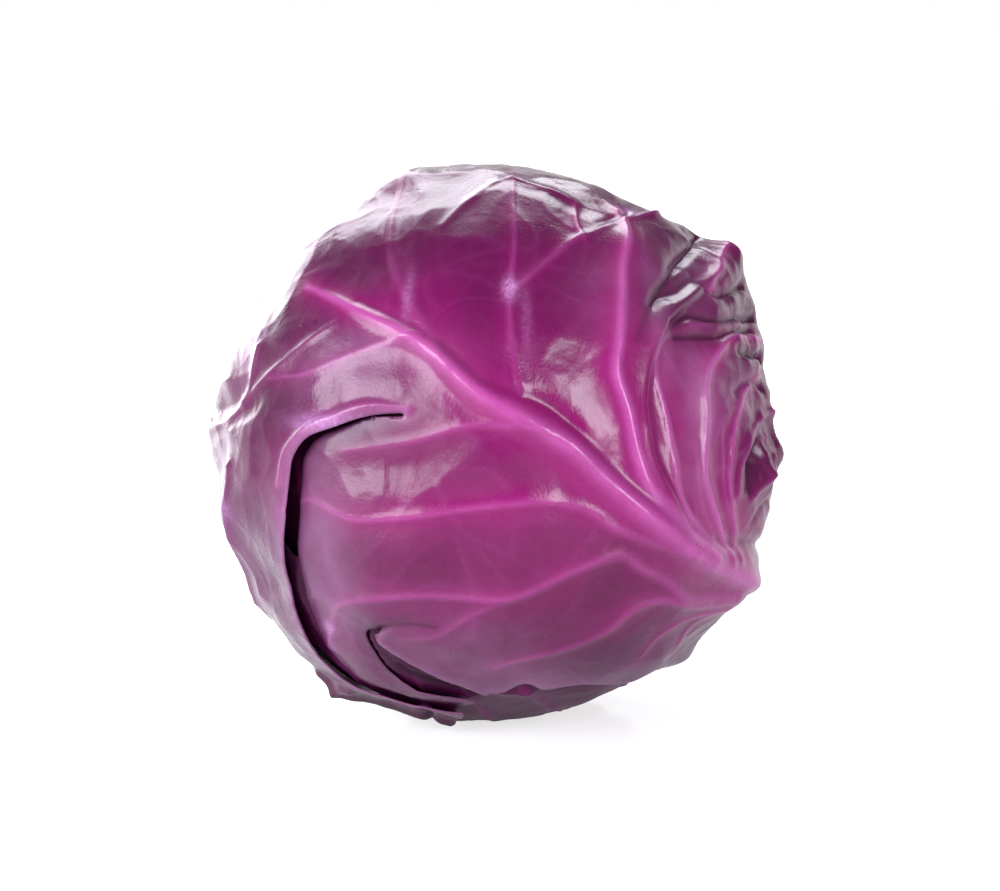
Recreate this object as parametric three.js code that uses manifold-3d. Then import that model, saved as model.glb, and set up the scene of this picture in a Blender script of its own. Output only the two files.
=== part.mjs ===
// A red cabbage head lying on its side: a tight heart with a cut stem, and wrapper leaves that close
// round it one over another. Millimetres, +Z up, with the origin on the surface the head lies on,
// below the middle of the head. The outermost leaf faces -Y and the stem points along STEM_DIRECTION.

import * as THREE from "three";
import { mergeVertices } from "three/addons/utils/BufferGeometryUtils.js";
import Module from "manifold-3d";

const wasm = await Module();
wasm.setup();

// Driving dimensions, in millimetres. Angles are in degrees, as seen from the head's centre.
const HEAD_RADIUS = 79; // from the centre to the outside of the front leaf
const CENTRE_HEIGHT = 77; // of the head's centre above the surface that it lies on
const LEAF_THICKNESS = 1.5;
const LEAF_PITCH = 2.2; // from the outside of one leaf to the outside of the next one in
const HEART_GAP = 1.1; // between the innermost wrapper leaf and the heart

const STEM_DIRECTION = new THREE.Vector3(0.8, 0.44, -0.4).normalize();
const STEM_RADIUS = 14;
const STEM_BEVEL = 1;
const STEM_REACH = 78; // from the centre to the cut face
const STEM_GAP = 0.5; // between the stem's inner end and the heart
const STEM_CLEARING = 14; // angle that every leaf keeps clear round the stem's middle
const BASE_GAP = 3; // angle left between a leaf's base and the stem's middle, before clearing
const BASE_HALF_ANGLE = 26; // half the angle over which a leaf narrows to its base

const RIB_WIDTH = 10; // of the front leaf's midrib at the stem
const RIB_TIP_WIDTH = 3;
const RIB_HEIGHT = 2.4; // above the leaf at the stem
const RIB_TIP_HEIGHT = 0.6;
const RIB_ROOT = 0.7; // how deep the rib is sunk in the leaf, to join it
const TEAR_WIDTH = 2.2; // in degrees
const TEAR_DEPTH = 12; // radial length of the cutter, more than any leaf is thick

const LEAF_STEPS = 22; // facets across a leaf each way
const FRONT_LEAF_STEPS = 28;
const RIB_STEPS = 18;
const TEAR_STEPS = 16;
const HEART_STEPS = 30;
const STEM_SIDES = 32;

// Where the head isn't round: each lump is a smooth rise of the whole surface about one direction
const LUMPS = [
  { toward: [0.77, 0.09, 0.64], height: 4.5, spread: 15 }, // crumpled shoulder above the stem
  { toward: [0.96, -0.1, 0.1], height: 1.5, spread: 18 },
  { toward: [-0.52, -0.12, -0.84], height: 4, spread: 14 }, // flap under the tear
  { toward: [-0.7, 0.2, 0.65], height: -1.5, spread: 30 },
];

// The leaf that the head lies on sags into a flat spot
const SAG = { toward: [0.05, 0.02, -1], height: 4.5, spread: 15 };

const PURPLE = 0x7a1560;
const DARK_PURPLE = 0x4f0f3e;
const PINK = 0xb03a90;
const STEM_WHITE = 0xd9c9cf;

// Wrapper leaves from the outside in. Each faces away from the head's centre, and its outline lists
// an angle counted from the leaf's right-hand side and the reach of the margin at that angle.
const LEAVES = [
  {
    name: "front_leaf",
    facing: [0, -0.99, 0.139],
    steps: FRONT_LEAF_STEPS,
    outline: [
      [-175, 120], [-158, 114], [-138, 102], [-122, 94], [-108, 88], [-99, 84], [-91, 64],
      [-78, 61], [-64, 69], [-52, 82], [-40, 98], [-12, 106], [10, 106], [35, 108], [60, 110],
      [85, 114], [115, 118], [145, 122],
    ],
    color: PURPLE,
  },
  {
    name: "under_leaf",
    facing: [0.15, 0.1, -0.98],
    steps: LEAF_STEPS,
    outline: [[-150, 78], [-90, 84], [-30, 80], [30, 76], [90, 84], [150, 88]],
    sag: SAG,
    color: DARK_PURPLE,
  },
  {
    name: "back_leaf",
    facing: [-0.25, 0.95, 0.2],
    steps: LEAF_STEPS,
    outline: [[-150, 94], [-90, 90], [-30, 96], [30, 100], [90, 98], [150, 96]],
    color: PURPLE,
  },
  {
    name: "inner_leaf",
    facing: [-0.45, -0.7, -0.55],
    steps: LEAF_STEPS,
    outline: [[-150, 92], [-90, 86], [-30, 92], [30, 98], [90, 96], [150, 94]],
    color: DARK_PURPLE,
  },
];

// Lines on the front leaf, in degrees to the right of and above the direction that it faces
const MIDRIB_LINE = [
  [101, -46], [74, -37], [48, -25], [31, -12], [17, 0], [5, 9], [-6, 15], [-17, 22], [-37, 35],
];
const TEAR_LINE = [
  [-19, 5], [-32, 3], [-43, -2], [-46, -16], [-46, -32], [-44, -50], [-36, -66], [-20, -76], [-4, -76],
];

const CENTRE = new THREE.Vector3(0, 0, CENTRE_HEIGHT);
const HEART_RADIUS = HEAD_RADIUS - (LEAVES.length - 1) * LEAF_PITCH - LEAF_THICKNESS - HEART_GAP;

// Smooth rise about a direction, 1 at its middle and 0 past its spread
function rise(direction, { toward, height, spread }) {
  const angle = THREE.MathUtils.radToDeg(direction.angleTo(new THREE.Vector3(...toward).normalize()));
  const share = Math.min(angle / spread, 2) / 2;
  return height * Math.cos((share * Math.PI) / 2) ** 4;
}

// How far the head's surface stands out from a plain ball in one direction
function lumpsAt(direction) {
  return LUMPS.reduce((sum, lump) => sum + rise(direction, lump), 0);
}

// Turns a direction away from the stem's middle, so that leaves stop round the stem
function clearOfStem(direction) {
  const angle = direction.angleTo(STEM_DIRECTION);
  const cleared = Math.hypot(angle, THREE.MathUtils.degToRad(STEM_CLEARING));
  const axis = STEM_DIRECTION.clone().cross(direction).normalize();
  return direction.applyAxisAngle(axis, cleared - angle);
}

// Angular map of a leaf, in degrees to the right of and above the direction that it faces
class LeafMap {
  constructor(facing) {
    this.out = new THREE.Vector3(...facing).normalize();
    this.right = new THREE.Vector3(0, 0, 1).cross(this.out).normalize();
    this.up = this.out.clone().cross(this.right);
  }

  direction(across, along) {
    const reach = THREE.MathUtils.degToRad(Math.hypot(across, along));
    const angle = Math.atan2(along, across);
    const sideways = this.right.clone().multiplyScalar(Math.cos(angle));
    sideways.addScaledVector(this.up, Math.sin(angle));
    const direction = sideways.multiplyScalar(Math.sin(reach)).addScaledVector(this.out, Math.cos(reach));
    return clearOfStem(direction);
  }

  // Angle and reach of the leaf's base, at the stem
  base() {
    const angle = Math.atan2(STEM_DIRECTION.dot(this.up), STEM_DIRECTION.dot(this.right));
    const reach = THREE.MathUtils.radToDeg(STEM_DIRECTION.angleTo(this.out)) - BASE_GAP;
    return { angle: THREE.MathUtils.radToDeg(angle), reach };
  }
}

// Shortest way round from one angle to another, in degrees
function turn(from, to) {
  return THREE.MathUtils.euclideanModulo(to - from + 180, 360) - 180;
}

// Reach of a closed outline at an angle, eased between its points
function outlineReach(outline, angle) {
  const next = outline.findIndex(([listed]) => listed > angle);
  const [endAngle, endReach] = outline.at(next === -1 ? 0 : next);
  const [startAngle, startReach] = outline.at(next === -1 ? -1 : next - 1);
  const span = THREE.MathUtils.euclideanModulo(endAngle - startAngle, 360);
  const share = THREE.MathUtils.euclideanModulo(angle - startAngle, 360) / span;
  return startReach + (endReach - startReach) * THREE.MathUtils.smoothstep(share, 0, 1);
}

// A box whose corners, from -1 to 1 each way, are moved to where place puts them
function bentBox(columns, rows, place) {
  const geometry = new THREE.BoxGeometry(2, 2, 2, columns, rows, 1);
  const { position } = geometry.attributes;
  const corner = new THREE.Vector3();
  for (let i = 0; i < position.count; i += 1) {
    corner.fromBufferAttribute(position, i);
    const { x, y, z } = place(corner);
    position.setXYZ(i, x, y, z);
  }
  geometry.deleteAttribute("uv");
  geometry.deleteAttribute("normal");
  return mergeVertices(geometry);
}

// One wrapper leaf: a slab bent round the head, with its square edge stretched to the leaf's outline
function leafGeometry(leaf, layer) {
  const map = new LeafMap(leaf.facing);
  const base = map.base();
  const outside = HEAD_RADIUS - layer * LEAF_PITCH;
  return bentBox(leaf.steps, leaf.steps, ({ x, y, z }) => {
    const angle = THREE.MathUtils.radToDeg(Math.atan2(y, x));
    const open = outlineReach(leaf.outline, angle);
    const narrowing = Math.exp(-((turn(base.angle, angle) / BASE_HALF_ANGLE) ** 2));
    const margin = THREE.MathUtils.lerp(open, base.reach, narrowing);
    const reach = Math.max(Math.abs(x), Math.abs(y)) * margin;
    const radians = THREE.MathUtils.degToRad(angle);
    const direction = map.direction(reach * Math.cos(radians), reach * Math.sin(radians));
    const depth = z > 0 ? 0 : LEAF_THICKNESS;
    const sag = leaf.sag ? rise(direction, leaf.sag) : 0;
    const radius = outside + lumpsAt(direction) + sag - depth;
    const point = CENTRE.clone().addScaledVector(direction, radius);
    point.z = Math.max(point.z, depth);
    return point;
  });
}

// A smooth line through points on a leaf's map
function lineThrough(points) {
  return new THREE.CatmullRomCurve3(points.map(([across, along]) => new THREE.Vector3(across, along, 0)));
}

// The midrib: a tapered bar with a rounded back that follows the front leaf's surface
function midribGeometry(map) {
  const line = lineThrough(MIDRIB_LINE);
  const degreesPerMillimetre = THREE.MathUtils.radToDeg(1 / HEAD_RADIUS);
  return bentBox(RIB_STEPS, 4, ({ x, y, z }) => {
    const share = (x + 1) / 2;
    const middle = line.getPointAt(share);
    const tangent = line.getTangentAt(share);
    const offset = (y / 2) * THREE.MathUtils.lerp(RIB_WIDTH, RIB_TIP_WIDTH, share) * degreesPerMillimetre;
    const direction = map.direction(middle.x - tangent.y * offset, middle.y + tangent.x * offset);
    const back = THREE.MathUtils.lerp(RIB_HEIGHT, RIB_TIP_HEIGHT, share) * Math.cos((y * Math.PI) / 2);
    const height = z > 0 ? back : -RIB_ROOT;
    return CENTRE.clone().addScaledVector(direction, HEAD_RADIUS + lumpsAt(direction) + height);
  });
}

// The tear: a narrow curved wedge through the front leaf, widest at the leaf's margin
function tearGeometry(map) {
  const line = lineThrough(TEAR_LINE);
  return bentBox(TEAR_STEPS, 1, ({ x, y, z }) => {
    const share = (x + 1) / 2;
    const middle = line.getPointAt(share);
    const tangent = line.getTangentAt(share);
    const offset = (y / 2) * TEAR_WIDTH * (0.4 + share);
    const direction = map.direction(middle.x - tangent.y * offset, middle.y + tangent.x * offset);
    return CENTRE.clone().addScaledVector(direction, HEAD_RADIUS + (z * TEAR_DEPTH) / 2);
  });
}

// A manifold solid from a closed geometry
function toSolid(geometry) {
  const vertProperties = new Float32Array(geometry.attributes.position.array);
  const triVerts = new Uint32Array(geometry.index.array);
  return new wasm.Manifold(new wasm.Mesh({ numProp: 3, vertProperties, triVerts }));
}

// A geometry from a manifold solid
function toGeometry(solid) {
  const { vertProperties, triVerts } = solid.getMesh();
  const geometry = new THREE.BufferGeometry();
  geometry.setAttribute("position", new THREE.BufferAttribute(vertProperties, 3));
  geometry.setIndex(new THREE.BufferAttribute(triVerts, 1));
  return geometry;
}

// The front leaf is the only one with its midrib outside and a tear
function finishFrontLeaf(leaf, geometry) {
  const map = new LeafMap(leaf.facing);
  const ribbed = toSolid(geometry).add(toSolid(midribGeometry(map)));
  return toGeometry(ribbed.subtract(toSolid(tearGeometry(map))));
}

function makeMesh(name, geometry, color, roughness) {
  geometry.computeVertexNormals();
  const mesh = new THREE.Mesh(geometry, new THREE.MeshStandardMaterial({ color, roughness, metalness: 0 }));
  mesh.name = name;
  return mesh;
}

function makeLeaf(leaf, layer) {
  const plain = leafGeometry(leaf, layer);
  const geometry = layer === 0 ? finishFrontLeaf(leaf, plain) : plain;
  return makeMesh(leaf.name, geometry, leaf.color, 0.35);
}

// The heart: the tight ball of inner leaves, which follows the head's lumps
function makeHeart() {
  const geometry = new THREE.SphereGeometry(HEART_RADIUS, HEART_STEPS, Math.round(HEART_STEPS * 0.6));
  const { position } = geometry.attributes;
  const point = new THREE.Vector3();
  for (let i = 0; i < position.count; i += 1) {
    const direction = point.fromBufferAttribute(position, i).normalize();
    point.multiplyScalar(HEART_RADIUS + lumpsAt(direction.clone()));
    position.setXYZ(i, point.x, point.y, point.z);
  }
  const heart = makeMesh("heart", geometry, PINK, 0.4);
  heart.position.copy(CENTRE);
  return heart;
}

// The stem: a short round stump between the heart and the cut face
function makeStem() {
  const start = HEART_RADIUS + STEM_GAP + lumpsAt(STEM_DIRECTION);
  const length = STEM_REACH - start;
  const profile = [
    new THREE.Vector2(0, 0),
    new THREE.Vector2(STEM_RADIUS, 0),
    new THREE.Vector2(STEM_RADIUS, length - STEM_BEVEL),
    new THREE.Vector2(STEM_RADIUS - STEM_BEVEL, length),
    new THREE.Vector2(0, length),
  ];
  const stem = makeMesh("stem_stump", new THREE.LatheGeometry(profile, STEM_SIDES), STEM_WHITE, 0.6);
  stem.position.copy(CENTRE).addScaledVector(STEM_DIRECTION, start);
  stem.quaternion.setFromUnitVectors(new THREE.Vector3(0, 1, 0), STEM_DIRECTION);
  return stem;
}

function makeCabbage() {
  const cabbage = new THREE.Group();
  cabbage.add(makeHeart(), makeStem(), ...LEAVES.map(makeLeaf));
  const box = new THREE.Box3().setFromObject(cabbage, true);
  const middle = box.getCenter(new THREE.Vector3());
  cabbage.position.set(-middle.x, -middle.y, -box.min.z);
  return cabbage;
}

export default makeCabbage();
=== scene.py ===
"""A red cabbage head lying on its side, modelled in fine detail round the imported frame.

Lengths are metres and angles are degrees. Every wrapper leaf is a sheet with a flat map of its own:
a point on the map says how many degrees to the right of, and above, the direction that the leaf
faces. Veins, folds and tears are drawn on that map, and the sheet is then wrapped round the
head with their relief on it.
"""

import logging
import math
from collections.abc import Callable
from dataclasses import dataclass, field
from enum import Enum, IntEnum

import bmesh
import bpy
import numpy as np
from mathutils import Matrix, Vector
from mathutils.kdtree import KDTree


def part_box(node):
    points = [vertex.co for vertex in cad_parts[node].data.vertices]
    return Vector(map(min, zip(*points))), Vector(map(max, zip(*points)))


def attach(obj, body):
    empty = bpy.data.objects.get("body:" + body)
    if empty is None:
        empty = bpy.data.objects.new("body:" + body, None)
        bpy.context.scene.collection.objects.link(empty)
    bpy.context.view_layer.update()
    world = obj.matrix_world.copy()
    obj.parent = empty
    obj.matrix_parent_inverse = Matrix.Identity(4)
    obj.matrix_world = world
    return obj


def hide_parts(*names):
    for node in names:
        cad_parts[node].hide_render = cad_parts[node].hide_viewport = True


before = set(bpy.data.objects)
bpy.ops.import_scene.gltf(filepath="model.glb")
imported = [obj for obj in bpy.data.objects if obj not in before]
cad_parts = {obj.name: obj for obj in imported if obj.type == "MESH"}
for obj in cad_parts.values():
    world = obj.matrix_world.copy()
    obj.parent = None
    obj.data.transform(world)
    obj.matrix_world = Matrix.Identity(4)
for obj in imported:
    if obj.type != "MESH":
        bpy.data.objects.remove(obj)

LOG = logging.getLogger("cabbage")

MM = 0.001

# The round that the leaves lie on, the stem, and how the leaves flatten on the floor. FAR is no limit.
LEAF_ROUND = 79.0 * MM
STEM_DIRECTION = np.array((0.8, 0.44, -0.4)) / np.linalg.norm((0.8, 0.44, -0.4))
STEM_CLEARING = 11.5
DEGREE_ARC = LEAF_ROUND * math.radians(1.0)
LOWEST = 0.4 * MM
SINK_EASE = 1.2 * MM
FAR = 1.0

# Relief that every wrapper leaf has. Spacings and fades are in degrees on the leaf's map.
NET_REACH = 132.0
NET_JITTER = 0.42
NET_SWAY = 2.1
WIDE_NET = 13.0
FINE_NET = 5.0
PANELS = 24.0
PANEL_WARP = 0.12
NET_HEIGHT = 0.12 * MM
CRUMPLE_HEIGHT = 0.5 * MM
FACET_DEPTH = 1.0 * MM
REST_FLATNESS = 0.35
REST_BLOOM = 0.04
MARGIN_FADE = 2.0
TEAR_FADE = 1.2

# How a line of relief spreads, as shares of its width where it isn't a length.
MARK_WIDTH = 0.75
GLOW_WIDTH = 1.6
GLOW_REACH = 2.5 * MM
GLOW_FALL = 1.4
TENT_ROUNDING = 0.3
STEP_EDGE = 0.35
STEP_DIP = 0.6

# How a tear bends the leaf: the share of its length that eases in, and how its lift falls off.
TEAR_START = 0.08
LIFT_FALL = 1.5
PUSH_WIDTH = 0.35

# Side veins of the leaves that aren't drawn by hand, placed by shares of the midrib's length.
SIDE_VEINS = 12
FIRST_VEIN = 0.06
VEIN_STEP = 0.068

# How a leaf is rooted at the stem, and how it presses on the leaves under it.
ROOT_TURN = 24.0
ROOT_GAP = 2.0
PRESS_EDGE = 2.5
PRESS_RAMP = 6.0 * MM
PRESS_GAP = 0.35 * MM

# How a sheet gets its wall: the share of its inner faces that stay, and how much thinner its margin is.
INNER_RATIO = 0.6
MARGIN_THINNING = 0.6

# How a sheet is cut: the step that slopes are measured over, and the share of a cell that snaps.
PROBE = 0.02
SNAP_SHARE = 0.56

Points = tuple[tuple[float, float], ...]
Facing = tuple[float, float, float]
Measure = Callable[[np.ndarray], np.ndarray]


def mm(*lengths: float) -> tuple[float, ...]:
    """Metres for lengths in millimetres."""
    return tuple(length * MM for length in lengths)


# ---- Form of the head ----


@dataclass(frozen=True)
class Lump:
    """A smooth rise, or a dip where the height is negative, about one direction."""

    toward: tuple[float, float, float]
    height: float
    spread: float

    def at(self, directions: np.ndarray) -> np.ndarray:
        """Height of the lump in each direction.

        Args:
            directions: unit vectors, one a row.

        Returns:
            One height a direction.
        """
        middle = np.array(self.toward) / np.linalg.norm(self.toward)
        angle = np.degrees(np.arccos(np.clip(directions @ middle, -1.0, 1.0)))
        return self.height * np.exp(-((angle / self.spread) ** 2))


@dataclass(frozen=True)
class HeadForm:
    """The round that all the leaves lie on."""

    centre: tuple[float, float, float]
    lumps: tuple[Lump, ...]

    def rise(self, directions: np.ndarray) -> np.ndarray:
        """Sum of the lumps in each direction."""
        return sum(lump.at(directions) for lump in self.lumps)

    def place(self, directions: np.ndarray, radius: np.ndarray) -> np.ndarray:
        """Points at a distance from the head's centre, pressed flat where they would meet the floor.

        Args:
            directions: unit vectors, one a row.
            radius: distance of each point.

        Returns:
            The points, one a row.
        """
        points = np.array(self.centre) + directions * radius[:, None]
        sunk = points[:, 2] < LOWEST
        points[sunk, 2] = LOWEST * np.exp((points[sunk, 2] - LOWEST) / SINK_EASE)
        return points


@dataclass(frozen=True)
class Waves:
    """A smooth random field in space, made of plane waves."""

    size: float
    seed: int
    count: int = 26

    def at(self, points: np.ndarray) -> np.ndarray:
        """Value of the field at each point, about -1 to 1."""
        random = np.random.default_rng(self.seed)
        total = np.zeros(len(points))
        for _ in range(self.count):
            axis = random.normal(size=points.shape[1])
            axis /= np.linalg.norm(axis)
            length = self.size * random.uniform(0.7, 1.6)
            total += np.sin(points @ axis * (2 * math.pi / length) + random.uniform(0, 2 * math.pi))
        return total / math.sqrt(self.count)


# ---- Lines and nets on a leaf's map ----


def smooth_line(points: Points, steps: int = 5) -> np.ndarray:
    """A Catmull-Rom line through points.

    Args:
        points: the points it goes through.
        steps: how many pieces each stretch is divided into.

    Returns:
        The line's points, one a row.
    """
    ends = [np.array(p, float) for p in points]
    ends = [2 * ends[0] - ends[1], *ends, 2 * ends[-1] - ends[-2]]
    line = []
    for before, start, end, after in zip(ends, ends[1:], ends[2:], ends[3:]):
        for t in np.arange(steps) / steps:
            pull = (end - before) * t + (2 * before - 5 * start + 4 * end - after) * t**2
            line.append(start + 0.5 * (pull + (3 * start - before - 3 * end + after) * t**3))
    line.append(ends[-2])
    return np.array(line)


@dataclass(frozen=True)
class Reading:
    """Where points are along a line: their distance, side and share of the way, 0 to 1."""

    distance: np.ndarray
    side: np.ndarray
    share: np.ndarray


def read_line(line: np.ndarray, where: np.ndarray, reach: float) -> Reading:
    """Measures points against a line.

    Args:
        line: the line's points.
        where: the points to measure.
        reach: distance past which a point isn't measured.

    Returns:
        Distances in degrees, with side 1 on the left of the line's direction and -1 on the right.
    """
    distance = np.full(len(where), 1e3)
    side = np.ones(len(where))
    share = np.zeros(len(where))
    low, high = line.min(0) - reach, line.max(0) + reach
    near = np.flatnonzero(((where > low) & (where < high)).all(1))
    part = where[near]
    best = np.full(len(near), 1e6)
    turn = np.ones(len(near))
    along = np.zeros(len(near))
    pieces = len(line) - 1
    for index in range(pieces):
        start, run = line[index], line[index + 1] - line[index]
        offset = part - start
        t = np.clip(offset @ run / max(run @ run, 1e-9), 0, 1)
        gap = offset - t[:, None] * run
        square = (gap**2).sum(1)
        closer = square < best
        best = np.where(closer, square, best)
        cross = run[0] * offset[:, 1] - run[1] * offset[:, 0]
        turn = np.where(closer, np.where(cross >= 0, 1.0, -1.0), turn)
        along = np.where(closer, (index + t) / pieces, along)
    distance[near], side[near], share[near] = np.sqrt(best), turn, along
    return Reading(distance, side, share)


class Shape(Enum):
    """Cross-section of a line's relief."""

    ROUND = "round"
    TENT = "tent"
    STEP = "step"


@dataclass(frozen=True)
class Stroke:
    """A line of relief on a leaf: a vein, a crease or a fold.

    The widths and heights are listed along the line, at even steps from its start to its end. A
    step stands up on the right of its line and dips on the left.
    """

    points: Points
    widths: tuple[float, ...]
    heights: tuple[float, ...]
    shape: Shape = Shape.TENT
    tint: float = 0.0
    shade: float = 0.0

    def relief(self, where: np.ndarray) -> tuple[np.ndarray, np.ndarray, np.ndarray]:
        """Height of the line at each point, and how strongly the line marks that point.

        Args:
            where: points on the map.

        Returns:
            Heights, marks on the line itself and the wider glow round it, both from 0 to 1.
        """
        reach = (5 * max(self.widths) + 18 * MM) / DEGREE_ARC
        reading = read_line(smooth_line(self.points), where, reach)
        width = along(self.widths, reading.share)
        height = along(self.heights, reading.share)
        away = reading.distance * DEGREE_ARC
        mark = np.exp(-((away / (MARK_WIDTH * width)) ** 2))
        glow = np.exp(-((away / (GLOW_WIDTH * width + GLOW_REACH)) ** GLOW_FALL))
        if self.shape is Shape.ROUND:
            rise = height * np.exp(-((away / width) ** 2))
        elif self.shape is Shape.TENT:
            soft = TENT_ROUNDING * width
            rise = height * np.exp(-(np.hypot(away, soft) - soft) / width)
        else:
            flank = -reading.side * np.tanh(away / (STEP_EDGE * width)) * np.exp(-away / width)
            rise = height * np.where(flank > 0, flank, STEP_DIP * flank)
        return rise, mark, glow


def along(values: tuple[float, ...], share: np.ndarray) -> np.ndarray:
    """Values listed at even steps along a line, read at each share of the way."""
    return np.interp(share, np.linspace(0, 1, len(values)), values)


def rib(points: Points, width: float, height: float, tint: float) -> Stroke:
    """A side vein that thins out towards its end, its width and height in millimetres."""
    width, height = mm(width, height)
    widths = (width, 0.7 * width, 0.45 * width)
    return Stroke(points, widths, (height, 0.75 * height, 0.3 * height), tint=tint)


def fold(points: Points, widths: tuple[float, ...], heights: tuple[float, ...], tint: float = 0.0,
         shape: Shape = Shape.TENT) -> Stroke:
    """A ridge or a fold with no shade, its widths and heights in millimetres."""
    return Stroke(points, mm(*widths), mm(*heights), shape, tint)


def groove(points: Points, widths: tuple[float, ...], heights: tuple[float, ...], shade: float,
           shape: Shape = Shape.TENT) -> Stroke:
    """A shaded line that no vein colours, its widths and heights in millimetres."""
    return Stroke(points, mm(*widths), mm(*heights), shape, shade=shade)


@dataclass(frozen=True)
class Tear:
    """A cut through a leaf. The leaf lifts on the right of the line and tucks under on the left."""

    points: Points
    gaps: tuple[float, ...]
    lifts: tuple[float, ...]
    tucks: tuple[float, ...]
    lift_width: float
    tuck_width: float
    overlap: float

    def line(self) -> np.ndarray:
        """The tear's line on the map."""
        return smooth_line(self.points, 8)

    def clearance(self, where: np.ndarray) -> np.ndarray:
        """Distance of each point outside the cut, in degrees, negative inside it."""
        reading = read_line(self.line(), where, 12)
        return reading.distance - along(self.gaps, reading.share) / 2

    def bend(self, where: np.ndarray) -> tuple[np.ndarray, np.ndarray, np.ndarray]:
        """What the tear does to the leaf round it.

        Args:
            where: points on the map.

        Returns:
            Heights, sideways moves on the map, and the share of shade in the tear.
        """
        line = self.line()
        reading = read_line(line, where, 5 * self.lift_width / DEGREE_ARC)
        away = reading.distance * DEGREE_ARC
        raised = reading.side < 0
        ends = np.clip(reading.share / TEAR_START, 0, 1)
        lift = along(self.lifts, reading.share) * np.exp(-((away / self.lift_width) ** LIFT_FALL))
        tuck = along(self.tucks, reading.share) * np.exp(-away / self.tuck_width)
        height = np.where(raised, lift, -tuck) * ends
        index = np.clip((reading.share * (len(line) - 1)).astype(int), 0, len(line) - 2)
        run = line[index + 1] - line[index]
        normal = np.stack((-run[:, 1], run[:, 0]), 1) / np.linalg.norm(run, axis=1)[:, None]
        push = self.overlap * ends * np.exp(-away / (PUSH_WIDTH * self.lift_width)) * raised
        shade = np.where(raised, 0.0, np.exp(-away / self.tuck_width)) * ends
        return height, normal * push[:, None], shade


@dataclass(frozen=True)
class Patch:
    """A soft oval patch on a leaf's map."""

    middle: tuple[float, float]
    radius: tuple[float, float]
    amount: float

    def at(self, where: np.ndarray) -> np.ndarray:
        """Strength of the patch at each point."""
        away = (where - np.array(self.middle)) / np.array(self.radius)
        return self.amount * np.exp(-((away**2).sum(1)))


def patches(*rows: tuple[float, float, float, float, float], unit: float = 1.0) -> tuple[Patch, ...]:
    """Patches from rows of a middle, two radii and an amount."""
    return tuple(Patch((x, y), (wide, high), amount * unit) for x, y, wide, high, amount in rows)


def patched(spots: tuple[Patch, ...], where: np.ndarray, start: float = 0.0) -> np.ndarray:
    """Sum of patches at each point, on top of a starting value."""
    return sum((spot.at(where) for spot in spots), np.full(len(where), start))


@dataclass(frozen=True)
class Net:
    """A net of panels round seeds scattered over the map."""

    spacing: float
    seed: int
    warp: float = 0.35

    def measure(self, where: np.ndarray) -> tuple[np.ndarray, np.ndarray]:
        """Distances from each point to the border of its panel and to the panel's middle, in degrees."""
        random = np.random.default_rng(self.seed)
        ticks = np.arange(-NET_REACH, NET_REACH, self.spacing)
        grid = np.stack(np.meshgrid(ticks, ticks), -1).reshape(-1, 2)
        seeds = grid + random.uniform(-NET_JITTER, NET_JITTER, grid.shape) * self.spacing
        tree = KDTree(len(seeds))
        for index, (x, y) in enumerate(seeds):
            tree.insert((x, y, 0.0), index)
        tree.balance()
        bend = self.spacing * self.warp
        size = self.spacing * NET_SWAY
        sway = np.stack((Waves(size, self.seed + 1).at(where), Waves(size, self.seed + 2).at(where)), 1)
        border = np.empty(len(where))
        middle = np.empty(len(where))
        for index, (x, y) in enumerate(where + bend * sway):
            (first, _, near), (second, _, far) = tree.find_n((x, y, 0.0), 2)
            border[index] = (far * far - near * near) / (2 * (first - second).length)
            middle[index] = near
        return border, middle


# ---- Wrapper leaves ----


class Draw(IntEnum):
    """What each random field adds to its leaf's seed."""

    WIDE_NET = 0
    FINE_NET = 5
    PANELS = 7
    CRUMPLE = 9
    SMALL_CRUMPLE = 10
    MARGIN = 40
    SMALL_MARGIN = 41
    FOLDS = 60
    SMALL_FOLDS = 61


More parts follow.
